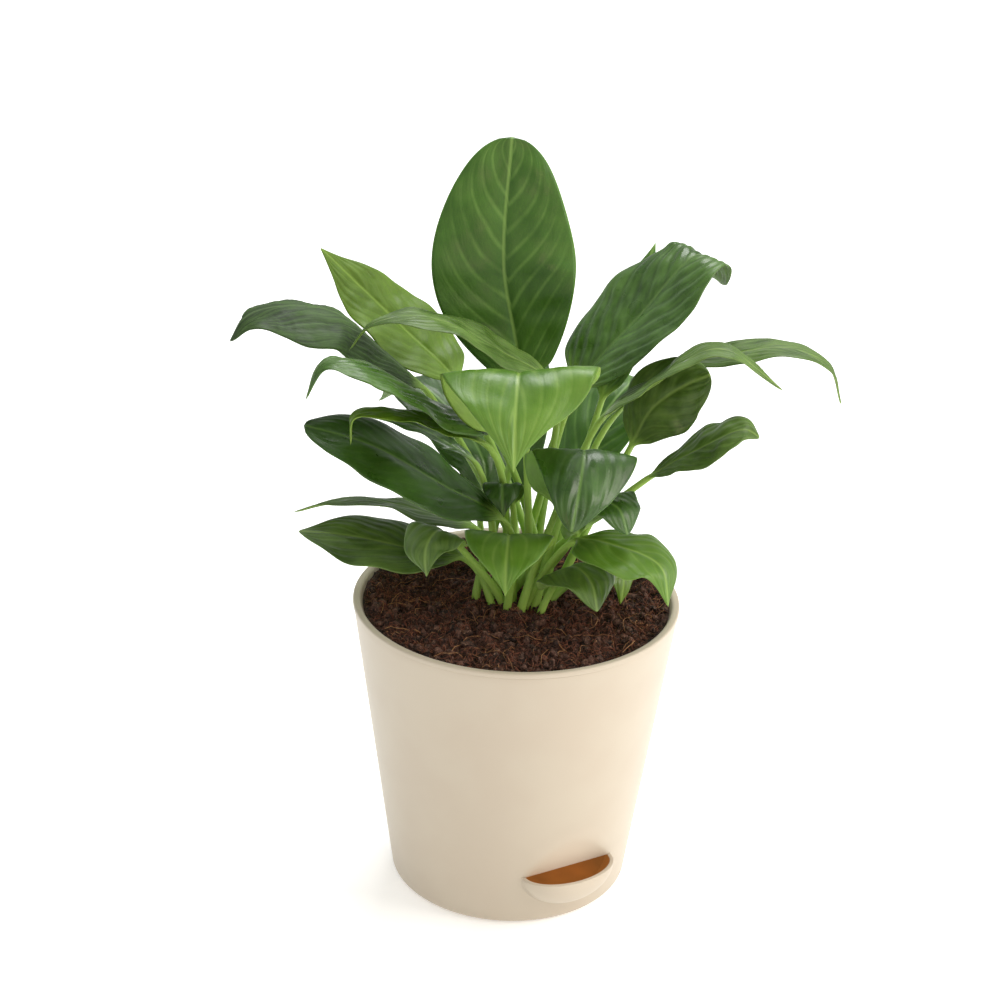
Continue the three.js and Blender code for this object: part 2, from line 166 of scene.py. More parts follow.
print("camera at", [round(v, 3) for v in camera.matrix_world.translation])


# %% Colour and node helpers
def colour(code):
    """An sRGB hex code as the linear colour that the shader works in."""
    parts = [int(code[i:i + 2], 16) / 255 for i in (1, 3, 5)]
    return (*[p / 12.92 if p <= 0.04045 else ((p + 0.055) / 1.055) ** 2.4 for p in parts], 1)


def add_node(finish, kind, inputs=(), out=0, **settings):
    """Adds one shader node to a material and gives back one of its outputs.

    Its inputs are set or linked, by name in a dict or in the node's own order in a list. A MapRange's order
    is the value, the range it comes from, and the range it goes to.
    """
    made = finish.node_tree.nodes.new("ShaderNode" + kind)
    for key, value in settings.items():
        setattr(made, key, value)
    for key, value in inputs.items() if isinstance(inputs, dict) else enumerate(inputs):
        if isinstance(value, bpy.types.NodeSocket):
            finish.node_tree.links.new(value, made.inputs[key])
        else:
            made.inputs[key].default_value = value
    return made.outputs[out]


def new_finish(name, roughness, ior=1.45):
    """A material, its Principled shader with its plain numbers set, and `add_node` for this material."""
    finish = bpy.data.materials.new(name)
    finish.use_nodes = True
    shader = finish.node_tree.nodes["Principled BSDF"]
    shader.inputs["Roughness"].default_value = roughness
    shader.inputs["IOR"].default_value = ior
    return finish, shader, partial(add_node, finish)


def wire(output, shader, socket):
    shader.id_data.links.new(output, shader.inputs[socket])


print("mid grey is", round(colour("#808080")[0], 3), "to the shader")

# %% Floor and sky
paper, paper_shader, _ = new_finish("white studio paper", 0.9)
paper_shader.inputs["Base Color"].default_value = colour("#fafafa")
paper_shader.inputs["Emission Color"].default_value = (1, 1, 1, 1)  # the paper is lit from behind as well
paper_shader.inputs["Emission Strength"].default_value = 0.3
bpy.ops.mesh.primitive_plane_add(size=14, location=(0, 0, -0.0005))
floor = bpy.context.object
floor.name = "studio_floor"
dress(floor, paper)

sky = bpy.data.worlds.new("even white sky")
bpy.context.scene.world = sky
sky.use_nodes = True
sky.node_tree.nodes["Background"].inputs["Color"].default_value = colour("#f6faf7")
sky.node_tree.nodes["Background"].inputs["Strength"].default_value = 0.68
bpy.context.scene.view_settings.view_transform = "Standard"
print("floor:", [round(v, 1) for v in floor.dimensions])

# %% Lights
PLANT_MIDDLE = Vector((0, 0, 0.16))


def soft_light(name, angle, height, away, size, power, tint):
    """A square light that looks at the plant's middle. Angle 0 is the camera's side, and 90 its right."""
    bpy.ops.object.light_add(type="AREA")
    lamp = bpy.context.object
    lamp.name = name
    a = math.radians(angle) + PLANT_TURN
    lamp.location = (away * math.sin(a), -away * math.cos(a), height)
    lamp.rotation_euler = (PLANT_MIDDLE - lamp.location).to_track_quat("-Z", "Y").to_euler()
    lamp.data.size, lamp.data.energy, lamp.data.color = size, power, colour(tint)[:3]


# Angle in degrees, height, distance and size in metres, power in watts, and tint.
soft_light("key_right", 80, 1.0, 1.5, 1.0, 21, "#fff8f0")
soft_light("fill_front", 12, 1.0, 1.6, 0.8, 5, "#ffdcb8")
soft_light("top_back", 165, 1.9, 0.8, 1.0, 30, "#ffffff")

# %% [markdown]
# ## The planter's outer pot
# It is injection-moulded polypropylene: a plain tapered wall, a flat pressed in above the watering mouth,
# and a scoop below it. All of these are one smooth skin, so it is made as two bands of a grid, one below
# the mouth's edge and one above it, wrapped round the axis. The bands part at the mouth and weld
# everywhere else. Solidify then gives the wall its thickness, and a bevel rounds the lips.

# %% Outer pot: its sizes, in millimetres
POT_HEIGHT, RIM_RADIUS, BASE_RADIUS, WALL = 146.6, 77.5, 57.3, 2.0
WALL_TOP = POT_HEIGHT - 2.4  # the rest of the height is the inner pot's lip
FOOT_ROUND = 4  # the turn from the base to the wall
MOUTH_HEIGHT, MOUTH_HALF = 28.4, 22.4  # the height of the mouth's edge, and half its width
MOUTH_REACH, SCOOP_DEPTH = 70, 15.5  # from the axis to the inside of the scoop's lip, and from it down
FACET_RISE = 20  # from the mouth's edge to where the flat runs out into the wall
FILLET, CREASE, SHARP, FADE = 2.2, 1.0, 0.02, 4  # both roundings go sharp within FADE of the mouth's edge
FRONT, FAR = 1, 999  # the scoop and the flat lie within FRONT radians of -Y, and FAR is out of reach


def cone(z):
    return mix(BASE_RADIUS, RIM_RADIUS, z / POT_HEIGHT)


MOUTH_FLAT = math.sqrt(cone(MOUTH_HEIGHT) ** 2 - MOUTH_HALF ** 2)  # from the axis to the flat at the edge
FACET_LEAN = (cone(MOUTH_HEIGHT + FACET_RISE) - MOUTH_FLAT) / FACET_RISE
MOUTH_ANGLE = math.asin((MOUTH_HALF + WALL) / cone(MOUTH_HEIGHT))  # half of what the scoop spans
print("the mouth spans", round(math.degrees(2 * MOUTH_ANGLE)), "degrees")


# %% Outer pot: the skin's formulas
def soft_max(a, b, blend):
    return np.maximum(a, b) + np.clip(blend - np.abs(a - b), 0, None) ** 2 / (4 * blend)


def scoop_radius(angle, z):
    """How far from the axis the scoop's outside lies: a half bowl that hangs from the mouth's edge."""
    wide, deep, tall = MOUTH_HALF + WALL, MOUTH_REACH - MOUTH_FLAT + WALL, SCOOP_DEPTH + WALL
    s, c = np.sin(angle) / wide, np.cos(angle) / deep
    level = 1 - ((z - MOUTH_HEIGHT) / tall) ** 2
    b = c * MOUTH_FLAT / deep
    inside = b ** 2 - (s ** 2 + c ** 2) * ((MOUTH_FLAT / deep) ** 2 - level)
    reach = (b + np.sqrt(np.clip(inside, 0, None))) / (s ** 2 + c ** 2)
    return np.where((inside > 0) & (np.abs(angle) < FRONT), reach, 0)


def outside_below(angle, r, z):
    """The wall and the scoop, run together by a fillet that fades out at the mouth's edge."""
    return soft_max(r, scoop_radius(angle, z), mix(SHARP, FILLET, ease(MOUTH_HEIGHT - z, 0, FADE)))


def outside_above(angle, r, z):
    """The wall, pressed in to a leaning flat above the mouth."""
    flat = (MOUTH_FLAT + FACET_LEAN * (z - MOUTH_HEIGHT)) / np.clip(np.cos(angle), 0.2, None)
    flat = np.where(np.abs(angle) < FRONT, flat, FAR)
    return -soft_max(-r, -flat, mix(SHARP, CREASE, ease(z - MOUTH_HEIGHT, 0, FADE)))


print("the scoop's lip lies", round(float(scoop_radius(0.0, MOUTH_HEIGHT)), 1), "mm from the axis")

# %% Outer pot: two bands, welded
COLUMNS, MOUTH_SHARE = 200, 0.32  # the grid's columns, and how many of them lie across the mouth


def wrap_angles(t):
    """Columns packed closely across the mouth, and evenly round the rest of the pot."""
    half = MOUTH_SHARE / 2
    across = (t - 0.5) / half * MOUTH_ANGLE
    rest = np.sign(t - 0.5) * mix(MOUTH_ANGLE, math.pi, (np.abs(t - 0.5) - half) / (0.5 - half))
    return np.where(np.abs(t - 0.5) <= half + 1e-9, across, rest)


def band(name, profile, shape):
    """Wraps a grid round the axis along a profile of (radius, height) pairs, and shapes it."""
    rows = len(profile) - 1
    piece, along, up_it = sheet(name, COLUMNS, rows)
    angle = wrap_angles(along)
    r, z = np.array(profile)[np.rint(up_it * rows).astype(int)].T
    r = shape(angle, r, z)
    set_points(piece, np.stack([r * np.sin(angle), -r * np.cos(angle), z], 1) * MM)
    return piece


base = [(r, 0) for r in (0, 20, 38, 50)]
foot = [(cone(FOOT_ROUND) - FOOT_ROUND * (1 - math.cos(a)), FOOT_ROUND * (1 - math.sin(a)))
        for a in np.linspace(math.pi / 2, 0, 8)]
below = base + foot + [(cone(z), z) for z in np.linspace(FOOT_ROUND + 1, MOUTH_HEIGHT, 40)]
above = [(cone(z), z) for z in [*np.linspace(MOUTH_HEIGHT, 54, 40), *np.linspace(58, WALL_TOP, 22)]]
lower_band = band("outer_pot_below_mouth", below, outside_below)
upper_band = band("outer_pot_above_mouth", above, outside_above)
select_only(upper_band)
lower_band.select_set(True)
bpy.ops.object.join()
outer_pot = bpy.context.object
outer_pot.name = outer_pot.data.name = "outer_pot_moulding"
clean_up(outer_pot, 0.03)
apply_modifier(outer_pot, "SOLIDIFY", thickness=WALL * MM, offset=-1, use_even_offset=True)
apply_modifier(outer_pot, "BEVEL", width=0.5 * MM, segments=3, limit_method="ANGLE",
               angle_limit=math.radians(55))
bpy.ops.object.shade_smooth()
print("outer pot:", len(outer_pot.data.polygons), "faces, box", [round(v, 4) for v in outer_pot.dimensions])

# %% [markdown]
# ## The inner pot
# The inner pot drops into the outer one and hangs by its rolled lip, which leaves the faint seam line
# just under the rim. It is a turned shape, so its profile is drawn once and spun. Its floor has drain
# holes, and its slotted foot stands in the water, where the mix inside it draws water up.

# %% Inner pot: its profile, in millimetres
INNER_WALL, INNER_FLOOR, INNER_FLOOR_RADIUS, INNER_TOP_RADIUS = 1.5, 36, 53.6, 75.1
CUP_RADIUS, CUP_BOTTOM = 15, 4.5  # the slotted foot
LIP_UNDER = WALL_TOP + 0.05  # the lip's lower side
LIP_CORNER, LIP_OUTER, LIP_INNER, FLOOR_ROUND = 0.2, 0.9, 1.7, 2  # radii of the profile's rounded corners


def inner_wall(z):
    return mix(INNER_FLOOR_RADIUS, INNER_TOP_RADIUS, (z - INNER_FLOOR) / (POT_HEIGHT - INNER_FLOOR))


def round_corner(centre, radius, start, end, steps=6):
    return [(centre[0] + radius * math.cos(a), centre[1] + radius * math.sin(a))
            for a in np.radians(np.linspace(start, end, steps))]


cup_inside, floor_inside = CUP_RADIUS - INNER_WALL, INNER_FLOOR + INNER_WALL
floor_edge, lip_edge = INNER_FLOOR_RADIUS - INNER_WALL, inner_wall(POT_HEIGHT) - INNER_WALL
inner_profile = [
    (0, CUP_BOTTOM), (CUP_RADIUS - 1, CUP_BOTTOM), (CUP_RADIUS, CUP_BOTTOM + 1), (CUP_RADIUS, INNER_FLOOR),
    *round_corner((INNER_FLOOR_RADIUS - FLOOR_ROUND, INNER_FLOOR + FLOOR_ROUND), FLOOR_ROUND, -90, 0),
    *[(inner_wall(z), z) for z in np.linspace(INNER_FLOOR + 3, WALL_TOP, 12)],
    (inner_wall(LIP_UNDER), LIP_UNDER), (RIM_RADIUS - LIP_CORNER, LIP_UNDER),
    *round_corner((RIM_RADIUS - LIP_CORNER, LIP_UNDER + LIP_CORNER), LIP_CORNER, -90, 0, 4),
    *round_corner((RIM_RADIUS - LIP_OUTER, POT_HEIGHT - LIP_OUTER), LIP_OUTER, 0, 90),
    *round_corner((lip_edge + LIP_INNER, POT_HEIGHT - LIP_INNER), LIP_INNER, 90, 180, 9),
    *[(inner_wall(z) - INNER_WALL, z) for z in np.linspace(POT_HEIGHT - 2.5, INNER_FLOOR + 6, 12)],
    *round_corner((floor_edge - FLOOR_ROUND, floor_inside + FLOOR_ROUND), FLOOR_ROUND, 0, -90),
    (cup_inside, floor_inside), (cup_inside, CUP_BOTTOM + INNER_WALL), (0, CUP_BOTTOM + INNER_WALL),
]
print("inner pot's profile:", len(inner_profile), "points")


# %% Inner pot: spun
def spun(name, profile, steps):
    """Spins a profile of (radius, height) pairs round the planter's axis."""
    data = bpy.data.meshes.new(name)
    edges = [(i, i + 1) for i in range(len(profile) - 1)]
    data.from_pydata([(r * MM, 0, z * MM) for r, z in profile], edges, [])
    piece = add_object(name, data)
    edit_all(piece)
    bpy.ops.mesh.spin(steps=steps, angle=2 * math.pi, center=(0, 0, 0), axis=(0, 0, 1))
    bpy.ops.object.mode_set(mode="OBJECT")
    clean_up(piece)
    return piece


inner_pot = spun("inner_pot_moulding", inner_profile, 160)
print("inner pot spun:", len(inner_pot.data.polygons), "faces")

# %% Inner pot: drain holes and slots
HOLES, HOLE_RING, HOLE_RADIUS, HOLE_LENGTH = 8, 38, 3, 12  # through the floor
SLOTS, SLOT_RING, SLOT_HEIGHT, SLOT_SIZE = 4, 14, 16.5, (10, 4, 14)  # through the foot's wall


def ring(count, radius, z):
    """Evenly spaced places round the axis: each one's angle, and its location in metres."""
    for a in [(i + 0.5) / count * 2 * math.pi for i in range(count)]:
        yield a, (radius * MM * math.cos(a), radius * MM * math.sin(a), z * MM)


cutters = []
for _, at in ring(HOLES, HOLE_RING, INNER_FLOOR):
    bpy.ops.mesh.primitive_cylinder_add(vertices=24, location=at, radius=HOLE_RADIUS * MM,
                                        depth=HOLE_LENGTH * MM)
    cutters.append(bpy.context.object)
for a, at in ring(SLOTS, SLOT_RING, SLOT_HEIGHT):
    bpy.ops.mesh.primitive_cube_add(size=1, location=at, rotation=(0, 0, a),
                                    scale=[v * MM for v in SLOT_SIZE])
    cutters.append(bpy.context.object)
select_only(cutters[0])
for cutter in cutters:
    cutter.select_set(True)
bpy.ops.object.join()
holes = bpy.context.object
apply_modifier(inner_pot, "BOOLEAN", operation="DIFFERENCE", object=holes, solver="EXACT")
bpy.data.objects.remove(holes)
select_only(inner_pot)
bpy.ops.object.shade_smooth_by_angle(angle=math.radians(40))
print("inner pot cut:", len(inner_pot.data.polygons), "faces")

# %% [markdown]
# ## Ivory polypropylene
# Polypropylene is a slightly waxy plastic. Moulded in ivory it has a soft sheen, no grain, and a very
# faint unevenness where the melt flowed. A weak glow of the plastic's own colour is painted light: it
# stands for daylight through the thin wall, and it is strongest round the mouth, where it lifts the shade
# on the flat pressed in above it. The reservoir's inside is painted amber and glows as well: painted
# light, for the warm light that comes back through the wall.

# %% Plastic finish
# The painted glow is strongest within GLOW_NEAR of MOUTH_CENTRE and fades out by GLOW_FAR.
MOUTH_CENTRE, GLOW_NEAR, GLOW_FAR = (0, -0.057, 0.032), 0.004, 0.026  # metres, as the shader measures
FLOW_SCALE = 34  # flow marks about 30 mm across
MOULD_SCALE = 2500  # the mould's own texture, about 0.4 mm across, which only softens the reflections


def plastic(name, base, uneven, roughness, glow, near_mouth):
    finish, shader, add = new_finish(name, roughness, ior=1.49)
    where = add("TexCoord", out="Object")
    # The emission is painted light: a glow in the plastic's own colour, `glow` over the whole wall and
    # `near_mouth` round the mouth.
    shader.inputs["Emission Color"].default_value = colour(base)
    away = add("VectorMath", [where, MOUTH_CENTRE], out="Value", operation="DISTANCE")
    painted_glow = add("MapRange", [away, GLOW_NEAR, GLOW_FAR, near_mouth, glow], interpolation_type="SMOOTHSTEP")
    wire(painted_glow, shader, "Emission Strength")
    clouds = add("TexNoise", {"Vector": where, "Scale": FLOW_SCALE, "Detail": 2})
    flow = add("MapRange", [clouds, 0.4, 0.62])
    tone = add("Mix", {"Factor": flow, "A": colour(base), "B": colour(uneven)}, out=2, data_type="RGBA")
    wire(tone, shader, "Base Color")
    grain = add("TexNoise", {"Vector": where, "Scale": MOULD_SCALE, "Detail": 2})
    wire(add("Bump", {"Height": grain, "Strength": 0.06, "Distance": 0.2 * MM}), shader, "Normal")
    return finish


# Ivory: a weak painted glow over the wall, and a stronger one round the mouth, which lifts the shade on the
# flat above it.
ivory = plastic("moulded ivory polypropylene", "#b6ab9a", "#b4a897", 0.42, 0.08, 0.42)
# The reservoir's inside: a painted amber glow, which stands for the warm light coming back through the
# wall.
painted_amber_glow = plastic("ivory polypropylene inside, painted amber glow", "#d6954c", "#8a4c1c", 0.5, 0.2, 0.3)
print("made:", ivory.name)

# %% Dress both pots
# AMBER_TOP and AMBER_INNER_TOP: how high the painted amber glow reaches on the outer and the inner pot.
AMBER_TOP, AMBER_INNER_TOP = MOUTH_HEIGHT - 0.1, 50  # how high up the outer and the inner pot are amber
WITHIN_WALL = 60  # a radius that takes in the whole floor of the reservoir

dress(outer_pot, ivory, painted_amber_glow)
dress(inner_pot, ivory, painted_amber_glow)
# Inward faces and the reservoir's floor below the mouth's edge, and the inner pot's lower part, wear the
# painted amber glow.
for face in outer_pot.data.polygons:
    x, y, z = face.center
    radius = math.hypot(x, y)
    faces_in = face.normal.x * x + face.normal.y * y < -0.2 * radius
    is_floor = face.normal.z > 0.7 and radius < WITHIN_WALL * MM
    face.material_index = int((faces_in or is_floor) and z < AMBER_TOP * MM)
for face in inner_pot.data.polygons:
    face.material_index = int(face.center.z < AMBER_INNER_TOP * MM)
print("amber faces:", [sum(f.material_index for f in p.data.polygons) for p in (outer_pot, inner_pot)])
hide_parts("outer_pot")
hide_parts("inner_pot")

# %% [markdown]
# ## The soil
# The mix is mostly coir: dark crumbs tangled with reddish fibres, a few of them long and pale. The body
# of the soil is spun like the inner pot that holds it, and its top is then raised and sunk by noise.
# Crumbs and fibres are laid over it afterwards.

# %% Soil body
SOIL_TOP = 143.8
SOIL_RADIUS = inner_wall(SOIL_TOP) - INNER_WALL - 0.3
RINGS, CLEAR = 120, 0.4  # the rings on the soil's top, and its clearance from the pot's floor and foot


def lumps(x, y):
    """The soil's height above its level: broad swells, clods 8 to 1 mm across, and a raised edge."""
    broad = math.sin(x * 0.21 + 1) * math.cos(y * 0.17) + 0.6 * math.sin(x * 0.43 - y * 0.37)
    p = Vector((x, y, 3.7))
    clods = noise.noise(p * 0.13) * 2.0 + abs(noise.noise(p * 0.28)) * 3.4 + noise.noise(p * 0.8) * 1.3
    near_wall = ease(math.hypot(x, y), SOIL_RADIUS - 5, SOIL_RADIUS)
    height = 0.3 * broad + clods + abs(noise.noise(p * 0.55 + Vector((9, 4, 1)))) * 1.9 - 1.7
    return height * (1 - 0.5 * near_wall) + 0.9 * near_wall


floor_level = floor_inside + CLEAR
soil_profile = [(SOIL_RADIUS * i / RINGS, SOIL_TOP) for i in range(RINGS + 1)] + [
    (SOIL_RADIUS - 0.6, SOIL_TOP - 3), (floor_edge - 1.6, floor_level),
    (cup_inside - CLEAR, floor_level), (cup_inside - 0.6, CUP_BOTTOM + INNER_WALL + CLEAR),
    (0, CUP_BOTTOM + INNER_WALL + CLEAR),
]
soil = spun("soil_body", soil_profile, 260)
points = get_points(soil)
top = points[:, 2] > (SOIL_TOP - 1) * MM
points[top, 2] += [lumps(x / MM, y / MM) * MM for x, y in points[top, :2]]
set_points(soil, points)
select_only(soil)
bpy.ops.object.shade_smooth()
print("soil:", len(soil.data.polygons), "faces")

# %% Soil finish
CLUMP_SCALE, SPECK_SCALE = 160, 900  # clumps about 6 mm across, and specks of 1 mm


def coir(name, dark, mid, light, roughness=0.92):
    """Coconut pith and fibre, damp and matt: dark clumps, and light specks of dry fibre ends."""
    finish, shader, add = new_finish(name, roughness)
    where = add("TexCoord", out="Object")
    clumps = add("TexNoise", {"Vector": where, "Scale": CLUMP_SCALE, "Detail": 6, "Roughness": 0.7})
    specks = add("TexNoise", {"Vector": where, "Scale": SPECK_SCALE, "Detail": 4, "Roughness": 0.75})
    ramp = add("ValToRGB", [clumps])
    for stop, at, code in zip(ramp.node.color_ramp.elements, (0.42, 0.64), (dark, mid)):
        stop.position, stop.color = at, colour(code)
    amount = add("MapRange", [specks, 0.52, 0.75])
    tone = add("Mix", {"Factor": amount, "A": ramp, "B": colour(light)}, out=2, data_type="RGBA")
    wire(tone, shader, "Base Color")
    wire(add("Bump", {"Height": specks, "Strength": 0.7, "Distance": 0.8 * MM}), shader, "Normal")
    return finish


dress(soil, coir("damp coir potting mix", "#160c09", "#4d3128", "#83604f"))
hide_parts("soil")
print("soil wears:", soil.data.materials[0].name)

# %% [markdown]
# ### Crumbs and fibres
# Each crumb is a small icosphere, squeezed and turned at random, and each fibre a thin strand that
# wanders just above the surface and curls. The draws are seeded, so the soil comes out alike every time.
# The strands are splines of one curve, given their thickness by its bevel and then made a mesh.

# %% Crumbs
CRUMBS, CRUMB_SIZES = 3200, (0.5, 0.7, 0.9, 1.2, 1.6, 2.2)  # how many, and their radii to draw from
draw = random.Random(7)


def soil_spot(limit):
    """A place on the soil, drawn evenly over its area out to this radius."""
    r, a = limit * math.sqrt(draw.random()), draw.random() * 2 * math.pi
    return r * math.cos(a), r * math.sin(a)


bpy.ops.mesh.primitive_ico_sphere_add(subdivisions=1, radius=1)
crumb = bpy.context.object
crumb_points, crumb_faces = get_points(crumb), [tuple(f.vertices) for f in crumb.data.polygons]
bpy.data.objects.remove(crumb)
points, faces = [], []
for _ in range(CRUMBS):
    x, y = soil_spot(SOIL_RADIUS - 1.5)
    size = draw.choice(CRUMB_SIZES)
    stretch = np.array([draw.uniform(0.6, 1.6), draw.uniform(0.6, 1.2), draw.uniform(0.5, 0.9)]) * size
    turned_by, axis = draw.random() * 6, Vector((draw.random(), draw.random(), 0.6)).normalized()
    twist = np.array(Matrix.Rotation(turned_by, 3, axis))
    rough = 1 + 0.25 * np.array([[draw.uniform(-1, 1)] for _ in crumb_points])
    at = np.array([x, y, SOIL_TOP + lumps(x, y) + draw.uniform(-0.3, 0.6) * size])
    faces += [tuple(v + len(points) for v in f) for f in crumb_faces]
    points += list(((crumb_points * rough * stretch) @ twist.T + at) * MM)
data = bpy.data.meshes.new("soil_crumbs")
data.from_pydata(points, [], faces)
crumbs = add_object("soil_crumbs", data)
dress(crumbs, coir("coir crumbs", "#1c110d", "#654539", "#9c7765"))
print("crumbs:", len(data.polygons), "faces")


# %% Fibres
def strand_spots(lengths, radii, bends, lift):
    """One strand's points and their radii, from the ranges of its length and radius in millimetres."""
    x, y = soil_spot(SOIL_RADIUS - 3)
    heading, bend = draw.random() * 2 * math.pi, draw.uniform(-bends, bends)
    steps = draw.randint(6, 10)
    step = draw.uniform(*lengths) / steps
    high, wave = draw.uniform(0, lift), draw.random() * 6
    radius = draw.uniform(*radii) * MM
    spots = []
    for k in range(steps + 1):
        if math.hypot(x, y) > SOIL_RADIUS - 1:
            break
        z = SOIL_TOP + lumps(x, y) + 0.25 + high * math.sin(math.pi * k / steps) + 0.4 * math.sin(wave + k)
        spots.append((x * MM, y * MM, z * MM, radius * (1 - 0.5 * k / steps)))
        bend += draw.uniform(-bends, bends) * 0.5
        heading += bend
        x, y = x + step * math.cos(heading), y + step * math.sin(heading)
    return spots if len(spots) > 1 else spots * 2


def fibres(name, count, lengths, radii, bends, lift, finish):
    """Strands that wander over the soil, and rise over it by up to lift millimetres."""
    curve = bpy.data.curves.new(name, "CURVE")
    curve.dimensions, curve.bevel_depth, curve.bevel_resolution = "3D", 1, 0
    curve.resolution_u = 2
    for _ in range(count):
        spots = strand_spots(lengths, radii, bends, lift)
        strand = curve.splines.new("POLY")
        strand.points.add(len(spots) - 1)
        for point, spot in zip(strand.points, spots):
            point.co, point.radius = (*spot[:3], 1), spot[3]
    select_only(add_object(name, curve))
    bpy.ops.object.convert(target="MESH")
    piece = bpy.context.object
    dress(piece, finish)
    print(name, len(piece.data.polygons), "faces")
    return piece


# For each kind: how many, lengths, radii, bends, lift, and the finish.
FIBRES = {
    "coir_fibres_dark": (2100, (5, 13), (0.2, 0.42), 0.9, 1.8,
                         coir("dark coir fibre", "#2a1810", "#4c2d21", "#75503d")),
    "coir_fibres_red": (1900, (5, 15), (0.14, 0.3), 0.9, 2.2,
                        coir("red-brown coir fibre", "#5a3325", "#7f4d39", "#a07055")),
    "coir_fibres_pale": (200, (10, 34), (0.14, 0.28), 0.28, 2.8,
                         coir("pale coir fibre", "#7d5539", "#a67a52", "#c49c70")),
}
strands = [fibres(name, *settings) for name, settings in FIBRES.items()]
